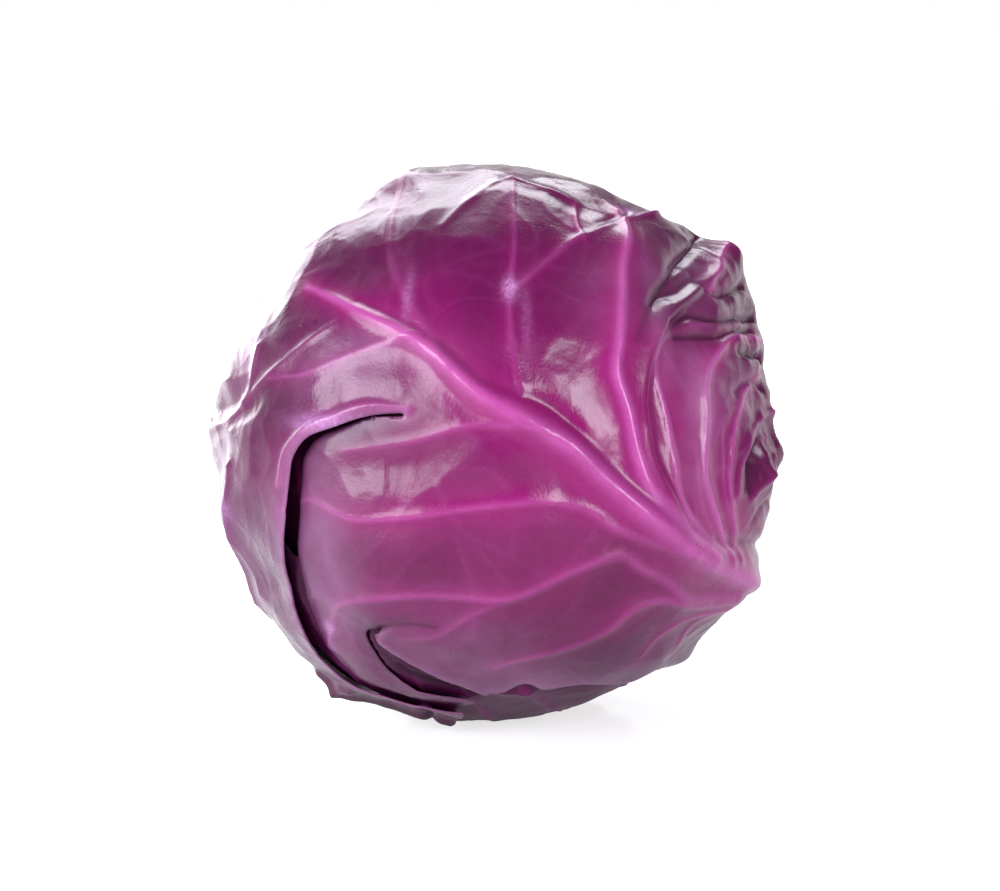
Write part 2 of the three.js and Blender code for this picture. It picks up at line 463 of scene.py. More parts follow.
class LeafMap:
    """Flat map of a leaf, in degrees to the right of and above the direction that it faces."""

    def __init__(self, facing: Facing) -> None:
        """Sets up the map's three directions."""
        self.out = np.array(facing) / np.linalg.norm(facing)
        sideways = np.cross((0.0, 0.0, 1.0), self.out)
        self.right = sideways / np.linalg.norm(sideways)
        self.up = np.cross(self.out, self.right)

    def directions(self, where: np.ndarray) -> np.ndarray:
        """Directions from the head's centre, kept clear of the stem.

        Args:
            where: points on the map.

        Returns:
            Unit vectors, one a row.
        """
        reach = np.radians(np.hypot(where[:, 0], where[:, 1]))
        angle = np.arctan2(where[:, 1], where[:, 0])
        flat = np.cos(angle)[:, None] * self.right + np.sin(angle)[:, None] * self.up
        toward = np.sin(reach)[:, None] * flat + np.cos(reach)[:, None] * self.out
        away = np.arccos(np.clip(toward @ STEM_DIRECTION, -1, 1))
        cleared = np.hypot(away, math.radians(STEM_CLEARING))
        sideways = toward - (toward @ STEM_DIRECTION)[:, None] * STEM_DIRECTION
        sideways /= np.maximum(np.linalg.norm(sideways, axis=1), 1e-9)[:, None]
        return np.sin(cleared)[:, None] * sideways + np.cos(cleared)[:, None] * STEM_DIRECTION

    def where(self, directions: np.ndarray) -> np.ndarray:
        """Points on the map for directions from the head's centre, the other way round."""
        cleared = np.arccos(np.clip(directions @ STEM_DIRECTION, -1, 1))
        away = np.sqrt(np.maximum(cleared**2 - math.radians(STEM_CLEARING) ** 2, 0))
        sideways = directions - (directions @ STEM_DIRECTION)[:, None] * STEM_DIRECTION
        sideways /= np.maximum(np.linalg.norm(sideways, axis=1), 1e-9)[:, None]
        toward = np.sin(away)[:, None] * sideways + np.cos(away)[:, None] * STEM_DIRECTION
        reach = np.degrees(np.arccos(np.clip(toward @ self.out, -1, 1)))
        flat = np.stack((toward @ self.right, toward @ self.up), 1)
        return flat / np.maximum(np.linalg.norm(flat, axis=1), 1e-9)[:, None] * reach[:, None]

    def locate(self, direction: np.ndarray) -> tuple[float, float]:
        """The angle and the reach on the map of one direction."""
        angle = math.degrees(math.atan2(direction @ self.up, direction @ self.right))
        return angle, math.degrees(math.acos(np.clip(direction @ self.out, -1, 1)))


@dataclass
class WrapperLeaf:
    """One wrapper leaf of the head.

    The outline lists an angle on the map and the margin's reach there, from -180 to 180.
    """

    name: str
    slot: str
    facing: Facing
    level: float
    outline: Points
    strokes: tuple[Stroke, ...] = ()
    tears: tuple[Tear, ...] = ()
    # Patches of wax bloom, and of painted sheen where highlights and reflections fall.
    blooms_and_sheens: tuple[Patch, ...] = ()
    flushes: tuple[Patch, ...] = ()
    swells: tuple[Patch, ...] = ()
    facets: tuple[Patch, ...] = ()
    crumples: tuple[Patch, ...] = ()
    shades: tuple[Patch, ...] = ()
    glints: tuple[Patch, ...] = ()
    seed: int = 1
    fine: float = 72.0
    fine_step: float = 0.55
    wide_step: float = 1.8
    extent: float = 124.0
    thickness: float = 1.1 * MM
    sag: tuple[Lump, ...] = ()
    rooted: bool = True
    map: LeafMap = field(init=False)

    def __post_init__(self) -> None:
        """Makes the leaf's map."""
        self.map = LeafMap(self.facing)

    def build(self, form: HeadForm, outer: tuple["WrapperLeaf", ...]) -> bpy.types.Object:
        """Makes the leaf's mesh.

        Args:
            form: the head that the leaf lies on.
            outer: the leaves that lie over this one and press it down.

        Returns:
            The finished leaf.
        """
        sheet = self.cut_sheet()
        where = flat_points(sheet)
        heights, moves, marks = self.relief(where)
        directions = self.map.directions(where + moves)
        radius = self.radius(form, directions, heights)
        for leaf in outer:
            radius = np.minimum(radius, leaf.underside(form, directions))
        points = form.place(directions, radius)
        for vert, point in zip(sheet.verts, points):
            vert.co = point
        mesh = bpy.data.meshes.new(self.name)
        sheet.to_mesh(mesh)
        sheet.free()
        for mark, values in marks.items():
            layer = mesh.attributes.new(mark, "FLOAT", "POINT")
            layer.data.foreach_set("value", values.astype(np.float32))
        mesh.shade_smooth()
        leaf = bpy.data.objects.new(self.name, mesh)
        bpy.context.scene.collection.objects.link(leaf)
        self.thicken(leaf, marks["margin"])
        return leaf

    def radius(self, form: HeadForm, directions: np.ndarray, heights: np.ndarray) -> np.ndarray:
        """Distance of the leaf's outer side from the head's centre."""
        sag = sum((lump.at(directions) for lump in self.sag), np.zeros(len(directions)))
        return LEAF_ROUND - self.level + form.rise(directions) + heights + sag

    def underside(self, form: HeadForm, directions: np.ndarray) -> np.ndarray:
        """How far out another leaf may reach under this one.

        Args:
            form: the head that the leaf lies on.
            directions: unit vectors, one a row.

        Returns:
            The largest radius in each direction, which is FAR where this leaf isn't.
        """
        where = self.map.where(directions)
        clear = self.inside(where)
        for tear in self.tears:
            clear = np.minimum(clear, tear.clearance(where))
        limit = np.full(len(where), FAR)
        under = np.flatnonzero(clear > -PRESS_EDGE)
        heights, _, _ = self.relief(where[under])
        lowest = self.radius(form, directions[under], heights) - self.thickness - PRESS_GAP
        free = 1 - np.clip(clear[under] / PRESS_EDGE + 1, 0, 1)
        limit[under] = lowest + free * PRESS_RAMP
        return limit

    def cut_sheet(self) -> bmesh.types.BMesh:
        """A flat sheet on the map, cut to the outline and along the tears."""
        ticks = spread_ticks(self.fine, self.extent, self.fine_step, self.wide_step)
        sheet = bmesh.new()
        last = len(ticks) - 1
        bmesh.ops.create_grid(sheet, x_segments=last, y_segments=last, size=1.0)
        for vert in sheet.verts:
            column = round((vert.co.x + 1) / 2 * last)
            row = round((vert.co.y + 1) / 2 * last)
            vert.co = (ticks[column], ticks[row], 0.0)
        for keep in (self.inside, *(tear.clearance for tear in self.tears)):
            trim(sheet, keep, self.cell)
        ease_margin(sheet)
        return sheet

    def cell(self, where: np.ndarray) -> np.ndarray:
        """Size of the sheet's cells at each point."""
        out = np.abs(where).max(1)
        share = np.clip((out - self.fine) / (self.extent - self.fine), 0, 1)
        return self.fine_step + (self.wide_step - self.fine_step) * share

    def inside(self, where: np.ndarray) -> np.ndarray:
        """Distance of each point inside the outline, in degrees, negative outside it."""
        angle = np.degrees(np.arctan2(where[:, 1], where[:, 0]))
        angles = np.array([corner[0] for corner in self.outline])
        reaches = np.array([corner[1] for corner in self.outline])
        open_reach = read_round(angle, angles, reaches)
        base_angle, base_reach = self.map.locate(STEM_DIRECTION)
        turn = (angle - base_angle + 180) % 360 - 180
        narrowing = np.exp(-((turn / ROOT_TURN) ** 2)) * self.rooted
        reach = open_reach + (base_reach - ROOT_GAP - open_reach) * narrowing
        ragged = 1.5 * Waves(18.0, self.seed + Draw.MARGIN).at(where)
        ragged += 0.7 * Waves(8.0, self.seed + Draw.SMALL_MARGIN).at(where)
        return reach + ragged * (1 - narrowing) - np.hypot(where[:, 0], where[:, 1])

    def relief(self, where: np.ndarray) -> tuple[np.ndarray, np.ndarray, dict[str, np.ndarray]]:
        """Relief of the leaf and the marks that its material reads.

        Args:
            where: points on the map.

        Returns:
            Heights, sideways moves on the map, and the marks by name.
        """
        vein = np.zeros(len(where))
        flush = np.zeros(len(where))
        shade = np.zeros(len(where))
        height = np.zeros(len(where))
        moves = np.zeros_like(where)
        for stroke in self.strokes:
            rise, mark, glow = stroke.relief(where)
            height += rise
            vein = np.maximum(vein, mark * stroke.tint)
            flush = np.maximum(flush, glow * stroke.tint)
            shade = np.maximum(shade, mark * stroke.shade)
        wide, _ = Net(WIDE_NET, self.seed + Draw.WIDE_NET).measure(where)
        fine, _ = Net(FINE_NET, self.seed + Draw.FINE_NET).measure(where)
        _, middle = Net(PANELS, self.seed + Draw.PANELS, PANEL_WARP).measure(where)
        quiet = 1 - 0.8 * np.clip(vein + flush, 0, 1)
        height += quiet * NET_HEIGHT * (1.6 * np.exp(-wide / 1.6) + 0.55 * np.exp(-fine / 0.7))
        small = 0.35 * Waves(11.0, self.seed + Draw.SMALL_CRUMPLE).at(where)
        height += CRUMPLE_HEIGHT * (Waves(26.0, self.seed + Draw.CRUMPLE).at(where) + small)
        panel = LEAF_ROUND * np.radians(middle) ** 2 / 2 - FACET_DEPTH
        flatness = np.clip(patched(self.facets, where, REST_FLATNESS), 0, 1)
        height += flatness * np.minimum(panel, FACET_DEPTH)
        height += patched(self.swells, where)
        height += patched(self.crumples, where) * self.folds(where)
        net = 0.06 * np.exp(-((wide / 0.7) ** 2)) + 0.03 * np.exp(-((fine / 0.4) ** 2))
        vein = np.maximum(vein, net * (1 - shade))
        margin = np.exp(-np.clip(self.inside(where), 0, None) / MARGIN_FADE)
        for tear in self.tears:
            rise, move, dark = tear.bend(where)
            height += rise
            moves += move
            shade = np.maximum(shade, dark)
            torn = np.exp(-np.clip(tear.clearance(where), 0, None) / TEAR_FADE)
            margin = np.maximum(margin, torn)
        marks = {
            "vein": vein,
            "flush": np.clip(flush + patched(self.flushes, where), 0, 1),
            "shade": np.clip(shade + patched(self.shades, where), 0, 1),
            "margin": margin,
            "bloom": np.clip(patched(self.blooms_and_sheens, where, REST_BLOOM), 0, 1),
            "glint": np.clip(patched(self.glints, where), 0, 1),
        }
        return height, moves, marks

    def folds(self, where: np.ndarray) -> np.ndarray:
        """Sharp random folds, ridges up to 1 high between dips down to -1."""
        wide = 1 - 2 * np.abs(Waves(17.0, self.seed + Draw.FOLDS, 12).at(where))
        small = 1 - 2 * np.abs(Waves(7.5, self.seed + Draw.SMALL_FOLDS, 12).at(where))
        return np.clip(wide, -1, 1) + 0.2 * np.clip(small, -1, 1)

    def thicken(self, leaf: bpy.types.Object, margin: np.ndarray) -> None:
        """Gives the sheet its thickness, thin at the margin, and thins out its inner side.

        Args:
            leaf: the leaf's object.
            margin: how near the margin each vertex is, 0 to 1.
        """
        full = leaf.vertex_groups.new(name="full")
        for index, near in enumerate(margin):
            full.add((index,), 1 - MARGIN_THINNING * float(near), "REPLACE")
        inner = leaf.vertex_groups.new(name="inner")
        wall = leaf.modifiers.new("Wall", "SOLIDIFY")
        wall.thickness = self.thickness
        wall.offset = -1.0
        wall.vertex_group = full.name
        wall.shell_vertex_group = inner.name
        thin = leaf.modifiers.new("Inner side", "DECIMATE")
        thin.vertex_group = inner.name
        thin.ratio = INNER_RATIO
        bake(leaf)


def spread_ticks(fine: float, extent: float, fine_step: float, wide_step: float) -> list[float]:
    """Grid lines from -extent to extent, close together up to fine and further apart past it."""
    ticks = list(np.linspace(0, fine, round(fine / fine_step) + 1))
    while ticks[-1] < extent:
        share = (ticks[-1] - fine) / (extent - fine)
        ticks.append(ticks[-1] + fine_step + (wide_step - fine_step) * min(share, 1.0))
    return [-tick for tick in ticks[:0:-1]] + ticks


def read_round(angle: np.ndarray, angles: np.ndarray, values: np.ndarray) -> np.ndarray:
    """Reads values listed round a circle, eased between the angles they are listed at."""
    angles = np.concatenate((angles[-1:] - 360, angles, angles[:1] + 360))
    values = np.concatenate((values[-1:], values, values[:1]))
    index = np.clip(np.searchsorted(angles, angle, side="right") - 1, 0, len(angles) - 2)
    share = (angle - angles[index]) / (angles[index + 1] - angles[index])
    eased = share * share * (3 - 2 * share)
    return values[index] + (values[index + 1] - values[index]) * eased


def flat_points(sheet: bmesh.types.BMesh) -> np.ndarray:
    """The sheet's vertices on the map, one a row."""
    return np.array([vert.co.xy for vert in sheet.verts])


def trim(sheet: bmesh.types.BMesh, keep: Measure, cell: Measure) -> None:
    """Cuts a flat sheet along the line where keep is zero and removes the side where it is below.

    Args:
        sheet: the sheet to cut.
        keep: gives each point's distance from the line.
        cell: gives the size of the sheet's cells at each point.
    """
    where = flat_points(sheet)
    here = keep(where)
    slope_x = (keep(where + (PROBE, 0)) - here) / PROBE
    slope_y = (keep(where + (0, PROBE)) - here) / PROBE
    square = np.maximum(slope_x**2 + slope_y**2, 1e-6)
    snapped = np.abs(here) / np.sqrt(square) < SNAP_SHARE * cell(where)
    shift = np.stack((slope_x, slope_y), 1) * (here / square)[:, None]
    verts = list(sheet.verts)
    for index in np.flatnonzero(snapped):
        verts[index].co.x -= shift[index, 0]
        verts[index].co.y -= shift[index, 1]
    below = (here < 0) & ~snapped
    sheet.verts.index_update()
    crossed = set()
    for face in sheet.faces:
        out = [bool(below[vert.index]) for vert in face.verts]
        on_line = [bool(snapped[vert.index]) for vert in face.verts]
        if any(out) and not all(o or s for o, s in zip(out, on_line)):
            crossed.update(vert for vert, s in zip(face.verts, on_line) if s)
    bmesh.ops.connect_verts(sheet, verts=list(crossed))
    spanning = [face for face in sheet.faces if all(snapped[vert.index] for vert in face.verts)]
    if spanning:
        middles = np.array([face.calc_center_median().xy for face in spanning])
        cut = [face for face, clear in zip(spanning, keep(middles)) if clear < 0]
        bmesh.ops.delete(sheet, geom=cut, context="FACES_ONLY")
    bmesh.ops.delete(sheet, geom=[vert for vert, out in zip(verts, below) if out], context="VERTS")
    bmesh.ops.delete(sheet, geom=[edge for edge in sheet.edges if edge.is_wire], context="EDGES")
    bmesh.ops.delete(sheet, geom=[vert for vert in sheet.verts if not vert.link_faces], context="VERTS")


def ease_margin(sheet: bmesh.types.BMesh, rounds: int = 3) -> None:
    """Evens out the small steps that cutting leaves along a sheet's margins.

    Args:
        sheet: the sheet.
        rounds: how many times its margins are evened out.
    """
    ends = []
    for vert in sheet.verts:
        edges = [edge for edge in vert.link_edges if edge.is_boundary]
        if len(edges) == 2:
            ends.append((vert, edges[0].other_vert(vert), edges[1].other_vert(vert)))
    for _ in range(rounds):
        eased = [vert.co * 0.5 + (one.co + other.co) * 0.25 for vert, one, other in ends]
        for (vert, _, _), place in zip(ends, eased):
            vert.co = place


def bake(piece: bpy.types.Object) -> None:
    """Puts a piece's modifiers into its mesh."""
    graph = bpy.context.evaluated_depsgraph_get()
    mesh = bpy.data.meshes.new_from_object(piece.evaluated_get(graph))
    piece.modifiers.clear()
    piece.data = mesh
    piece.vertex_groups.clear()


def front_midrib() -> tuple[Stroke, ...]:
    """The front leaf's midrib: a broad ridge with a sloping shoulder, and a valley along its upper side."""
    ridge = ((97, -54), (79, -43), (65, -35), (44, -25), (30, -15), (22, -8), (15, -2), (9, 2), (-2, 8),
             (-11, 16), (-18, 21), (-27, 26), (-35, 31), (-42, 35))
    valley = ((86, -34), (69, -27), (49, -22), (36, -15), (24, -7), (14, 3), (9, 7), (-2, 11), (-11, 19),
              (-28, 29))
    return (
        fold(ridge, (6.6, 4.4, 3.4, 2.2, 1.2), (3.2, 3.2, 2.3, 1.2, 0.1), 0.85, Shape.ROUND),
        fold(ridge, (15, 12, 9, 8, 6), (2.2, 1.8, 1.5, 1.2, 0.5)),
        groove(valley, (3.0, 2.4, 1.8, 1.2), (-1.8, -1.1, -0.8, -0.3), 0.25, Shape.ROUND),
    )


def front_veins() -> tuple[Stroke, ...]:
    """The front leaf's side veins, those below the midrib first."""
    return (
        rib(((40, -23), (24, -17), (18, -13), (9, -11), (-2, -12), (-16, -14), (-28, -15), (-38, -12),
             (-44, -14)), 2.0, 1.1, 0.42),
        rib(((60, -38), (42, -34), (36, -29), (29, -25), (24, -22), (14, -25), (3, -30), (-17, -31),
             (-29, -33), (-35, -37), (-38, -43), (-42, -52)), 2.4, 1.5, 0.4),
        rib(((3, -30), (-4, -34), (-12, -40), (-20, -42)), 1.6, 0.6, 0.25),
        rib(((64, -40), (46, -37), (35, -33), (28, -35), (23, -40), (14, -44), (0, -48)), 2.4, 1.6, 0.42),
        rib(((62, -41), (45, -41), (38, -44), (34, -50)), 1.6, 1.1, 0.5),
        rib(((68, -43), (54, -42), (48, -44), (46, -54)), 1.6, 1.1, 0.5),
        rib(((9, 2), (-4, 3), (-16, 0), (-30, -2)), 1.6, 0.7, 0.4),
        rib(((-14, 20), (-24, 18), (-38, 14), (-50, 14)), 1.5, 0.7, 0.4),
        rib(((-9, 14), (-12, 20), (-17, 28), (-20, 34), (-23, 44), (-24, 62), (-22, 78)), 1.9, 1.0, 0.2),
        rib(((5, 9), (4, 13), (3, 21), (3, 30), (4, 41), (4, 60), (6, 78)), 1.6, 0.9, 0.28),
        rib(((47, -24), (37, -16), (30, -10), (27, -3), (25, 6), (23, 13), (24, 20), (27, 37), (30, 47),
             (31, 58)), 3.2, 2.1, 1.0),
        rib(((50, -24), (41, -17), (36, -10), (34, 5), (32, 14), (33, 20)), 1.5, 1.3, 0.95),
        rib(((54, -26), (47, -17), (43, -7), (44, 2), (44, 10), (46, 16), (51, 21), (59, 26), (78, 29)),
            1.9, 1.9, 0.9),
        rib(((58, -27), (52, -16), (51, -8), (53, 3), (58, 11), (68, 17)), 1.6, 1.6, 0.75),
        rib(((55, -24), (50, -14), (49, -8), (49, 3)), 1.1, 0.8, 0.4),
        rib(((46, -20), (42, -12), (41, 0)), 1.3, 0.6, 0.3),
        rib(((19, 44), (18, 49), (19, 57)), 1.0, 0.7, 0.5),
    )


def front_folds() -> tuple[Stroke, ...]:
    """The crumpled shoulder of the front leaf and its creases."""
    return (
        groove(((57, 42), (46, 33), (39, 27), (34, 21), (31, 15), (30, 6), (31, -3), (35, -11), (39, -17)),
               (2.6, 3.6, 3.2, 2.2), (1.2, 2.2, 1.8, 0.8), 0.2, Shape.STEP),
        groove(((37, 25), (43, 28), (52, 28), (66, 33), (76, 36)), (1.5, 2.0), (-1.4, -3.0), 0.8),
        fold(((42, 25), (50, 27), (64, 31)), (0.9, 1.1), (0.7, 1.0), 0.25),
        groove(((38, 22), (44, 23), (51, 24), (62, 28), (72, 31)), (1.3, 1.7), (-1.2, -2.4), 0.8),
        groove(((58, 21), (65, 22), (74, 23)), (2.0, 2.2), (-1.6, -2.6), 0.9, Shape.ROUND),
        groove(((65, 1), (62, -5), (59, -11)), (3.0, 3.6, 2.6), (-1.6, -3.2, -1.4), 0.9, Shape.ROUND),
        fold(((54, -12), (56, -4), (62, 1), (69, 1)), (0.9, 1.2), (0.8, 1.4), 0.3),
        fold(((60, -13), (68, -9), (73, -4)), (1.2, 1.2), (1.2, 1.6), 0.2),
        groove(((59, 59), (51, 50), (45, 44), (39, 37), (33, 29)), (1.4, 2.2, 2.0), (-1.6, -2.6, -0.8),
               0.7),
        groove(((49, 38), (53, 36), (60, 38), (70, 44)), (1.4, 1.6), (-1.2, -2.2), 0.6),
        fold(((52, 36), (58, 46), (66, 57)), (1.2, 1.2), (0.8, 0.6), 0.8),
        groove(((55, 11), (60, 14), (70, 14)), (1.0, 1.6), (-0.8, -1.8), 0.6),
        fold(((56, -2), (63, 4), (70, 7), (80, 8)), (1.2, 1.6), (0.9, 1.6), 0.2),
        groove(((62, -20), (70, -16), (80, -16)), (1.4, 1.6), (-0.8, -1.6), 0.5),
        fold(((-16, 6), (-24, 7), (-31, 5), (-37, 3), (-43, -2), (-45, -9)), (0.9, 1.5, 1.4, 1.0),
             (0.3, 1.4, 1.2, 0.6), 0.35, Shape.ROUND),
        groove(((-52, -68), (-45, -73), (-37, -75), (-30, -75), (-20, -75), (-12, -77)), (2.6, 2.4, 3.0),
               (1.4, 1.8, 2.6), 0.8, Shape.ROUND),
        groove(((-18, -70), (-17, -76), (-16, -86)), (1.4, 1.6), (-1.4, -1.8), 0.9),
        fold(((-48, -74), (-44, -70), (-40, -69)), (2.4, 2.4), (1.6, 1.4), 0.0, Shape.ROUND),
        groove(((-27, -44), (-24, -40), (-18, -38), (-12, -38)), (1.0, 0.8), (-1.0, -0.3), 0.6),
        fold(((-27, -47), (-29, -43), (-25, -38), (-18, -35)), (1.2, 1.0), (0.7, 0.3)),
        fold(((-60, 9), (-49, 15), (-40, 20), (-32, 24)), (1.4, 1.2), (1.0, 0.5), 0.15),
        fold(((-90, 2), (-76, 4), (-66, 6), (-58, 12), (-55, 22)), (2.2, 1.4), (0.9, 0.8), 0.1),
        fold(((-66, -6), (-70, -29), (-72, -42), (-70, -55)), (2.0, 1.6), (1.6, 1.2), 0.1),
        fold(((-11, 46), (-8, 51), (-5, 55), (-1, 60), (5, 63), (18, 57)), (1.2, 1.6), (0.5, 1.2), 0.1),
        fold(((4, 30), (9, 35), (17, 43), (25, 49), (34, 56), (44, 62)), (1.0, 1.4), (0.5, 1.3), 0.3),
        groove(((19, 45), (26, 51), (34, 58)), (1.6, 2.4), (-0.4, -1.8), 0.5),
        groove(((48, 40), (41, 34), (34, 30), (28, 20)), (2.6, 3.0, 1.6), (-1.0, -1.8, -0.3), 0.3,
               Shape.ROUND),
    )


def front_tears() -> tuple[Tear, ...]:
    """The long tear down the left side and the short hooked one below."""
    return (
        Tear(
            points=((-17, 5), (-24, 5), (-31, 3), (-37, 1), (-41, -3), (-42, -8), (-43, -16), (-45, -28),
                    (-46, -38), (-45, -48), (-43, -58), (-37, -64), (-24, -67), (-12, -68), (-2, -69)),
            gaps=(0.8, 0.8, 0.8, 1.1, 1.6, 2.0, 1.8, 1.2, 0.7, 0.5),
            lifts=mm(0.0, 1.4, 2.2, 2.2, 2.2, 2.2, 1.7, 1.2, 1.0, 0.8),
            tucks=mm(0.0, 1.0, 1.8, 2.4, 2.6, 2.3, 1.8, 1.6, 1.6),
            lift_width=11 * MM,
            tuck_width=5 * MM,
            overlap=0.8,
        ),
        Tear(
            points=((2, -63), (-3, -61), (-9, -59), (-16, -56), (-22, -52), (-26, -47), (-28, -43),
                    (-25, -41)),
            gaps=(5.0, 6.0, 8.0, 9.0, 8.0, 5.0, 2.0, 0.7),
            lifts=mm(1.0, 1.2, 1.2, 1.0, 0.4),
            tucks=mm(1.4, 1.4, 1.6, 1.4, 0.8),
            lift_width=7 * MM,
            tuck_width=4 * MM,
            overlap=0.0,
        ),
    )


def pinnate_veins(facing: Facing, reach: float, seed: int) -> tuple[Stroke, ...]:
    """Midrib and side veins of a leaf that isn't drawn by hand, fanning out from the stem.

    Args:
        facing: the direction that the leaf faces.
        reach: how far the midrib runs past the middle of the leaf, in degrees.
        seed: seed for the small differences between the veins.

    Returns:
        The veins as strokes.
    """
    random = np.random.default_rng(seed)
    angle, base = LeafMap(facing).locate(STEM_DIRECTION)
    out = np.array((math.cos(math.radians(angle)), math.sin(math.radians(angle))))
    across = np.array((-out[1], out[0]))
    length = base + reach
    start = out * (base - 1)

    def on_rib(share: float) -> np.ndarray:
        """A point on the gently curved midrib."""
        return start - out * length * share + across * 7 * math.sin(2.6 * share)

    line = tuple(tuple(on_rib(share)) for share in np.linspace(0, 1, 9))
    strokes = [
        fold(line, (6.0, 4.2, 2.6, 1.2), (2.6, 1.7, 1.0, 0.4), 0.7, Shape.ROUND),
        fold(line, (12, 9, 6), (1.8, 1.3, 0.4)),
    ]
    for index in range(SIDE_VEINS):
        share = FIRST_VEIN + VEIN_STEP * index
        sign = 1 if index % 2 else -1
        span = length * (0.62 - 0.35 * share) * random.uniform(0.9, 1.1)
        lean = random.uniform(0.35, 0.6)
        root = on_rib(share)
        points = []
        for step in np.linspace(0, 1, 5):
            forward = -out * (lean * step + 0.35 * step**2) * span
            points.append(tuple(root + forward + across * sign * span * step * (1 - 0.18 * step)))
        strokes.append(rib(tuple(points), 2.2 - 1.1 * share, 1.2 - 0.6 * share, 0.5))
    return tuple(strokes)


def front_leaf() -> WrapperLeaf:
    """The large leaf that faces the front, with its midrib to the upper left."""
    return WrapperLeaf(
        name="front_leaf_skin",
        slot="wrapper_leaf",
        facing=(0.0, -0.99, 0.139),
        level=0.0,
        outline=((-175, 120), (-158, 114), (-138, 104), (-122, 98), (-108, 93), (-101, 90), (-98.5, 83),
                 (-97.5, 74), (-95, 65), (-91, 57), (-86, 56.5), (-80, 58), (-72, 60), (-65, 64),
                 (-58, 69), (-53, 78), (-46, 92), (-38, 99), (-12, 106), (10, 106), (35, 108),
                 (60, 110), (85, 114), (115, 118), (145, 122)),
        strokes=front_midrib() + front_veins() + front_folds(),
        tears=front_tears(),
        swells=patches(
            (88, 13, 8, 8, -4.0), (77, 42, 7, 7, 2.6), (69, 53, 8, 7, 5.0), (52, 71, 12, 8, -1.6),
            (61, 45, 7, 7, 2.6), (80, -3, 5, 4, 2.2), (86, -22, 8, 8, -1.2), (-16, 74, 16, 9, 2.0),
            (-59, -65, 12, 12, 2.0), (-46, -76, 9, 8, 3.6), (84, -44, 8, 9, -2.4), (59, -65, 6, 6, 2.2),
            (67, -57, 5, 6, -2.4), (48, -74, 7, 7, -1.6), unit=MM,
        ),
        facets=patches((-75, -20, 30, 50, 0.75), (-10, 60, 50, 16, 0.5), (62, -40, 16, 16, 0.5)),
        crumples=patches(
            (64, 20, 15, 22, 0.7), (72, -8, 12, 14, 0.7), (60, 52, 14, 12, 0.4), (-84, 0, 12, 40, 0.25),
            unit=MM,
        ),
        flushes=patches(
            (56, -22, 16, 9, 0.9), (0, -12, 34, 18, 0.5), (20, 18, 26, 22, 0.45), (-14, 28, 9, 10, 0.4),
            (42, 2, 10, 18, 0.5), (20, -36, 36, 8, 0.2),
        ),
        # Wax bloom, and painted sheen: pale patches where highlights and reflections fall.
        blooms_and_sheens=patches(
            (-8, -46, 22, 13, 0.6), (20, -56, 30, 7, 0.6), (-28, 16, 15, 6, 0.6),
            (44, -46, 16, 9, 0.25), (-38, -26, 9, 24, 1.1), (-70, -28, 16, 22, 0.5),
            (-59, 23, 5, 9, 0.7), (66, -20, 14, 14, 0.12), (72, -44, 12, 12, 0.2),
            (23, 30, 8, 10, 0.35), (43, 4, 6, 16, 0.8), (48, 40, 10, 10, 0.4), (-24, 12, 18, 10, 0.2),
            (34, 23, 3.5, 18, 0.6), (43, 17, 4, 9, 0.45), (57, 12, 7, 8, 0.35),
        ),
        shades=patches(
            (-12, 48, 11, 10, 0.45), (-32, 41, 11, 8, 0.45), (36, 31, 6, 5, 0.3),
            (-26, -82, 24, 10, 0.8), (-50, 8, 8, 10, 0.45), (22, -45, 14, 6, 0.35),
            (38, -50, 10, 3, 0.2), (64, -20, 8, 8, 0.25), (-14, -1, 16, 5, 0.2),
        ),
        glints=patches(
            (3, 30, 1.4, 2.4, 0.7), (-39, -44, 1.8, 1.8, 0.7), (35, 60, 2.5, 2.0, 0.7),
            (-34, 4, 8, 1.6, 0.55), (-68, -17, 2.5, 2.5, 0.4), (-17, 29, 1.0, 6, 0.3),
            (6, 23, 1.0, 8, 0.15), (-40, -52, 1.2, 7, 0.3),
        ),
        seed=11,
    )


def under_leaf() -> WrapperLeaf:
    """The leaf below, dark with painted shade, with fan-like veins."""
    facing = (0.15, 0.1, -0.98)
    return WrapperLeaf(
        name="under_leaf_skin",
        slot="dark_leaf",
        facing=facing,
        level=1.9 * MM,
        outline=((-150, 78), (-90, 84), (-30, 80), (30, 76), (90, 84), (150, 88)),
        strokes=pinnate_veins(facing, 70, 3) + (
            fold(((-27, -56), (-29, -46), (-33, -36), (-37, -24)), (1.8, 1.8), (1.4, 1.4)),
            groove(((-24, -50), (-25, -42), (-28, -33)), (1.4, 1.4), (-1.4, -1.4), 0.9),
        ),
        shades=patches((-26, -52, 6, 12, 0.75), (0, -36, 9, 8, 0.9), (-28, -38, 4, 10, 0.5)),
        seed=23,
        fine=60.0,
        fine_step=0.85,
        extent=98.0,
        sag=(Lump((0.05, 0.02, -1.0), 3.2 * MM, 14),),
    )


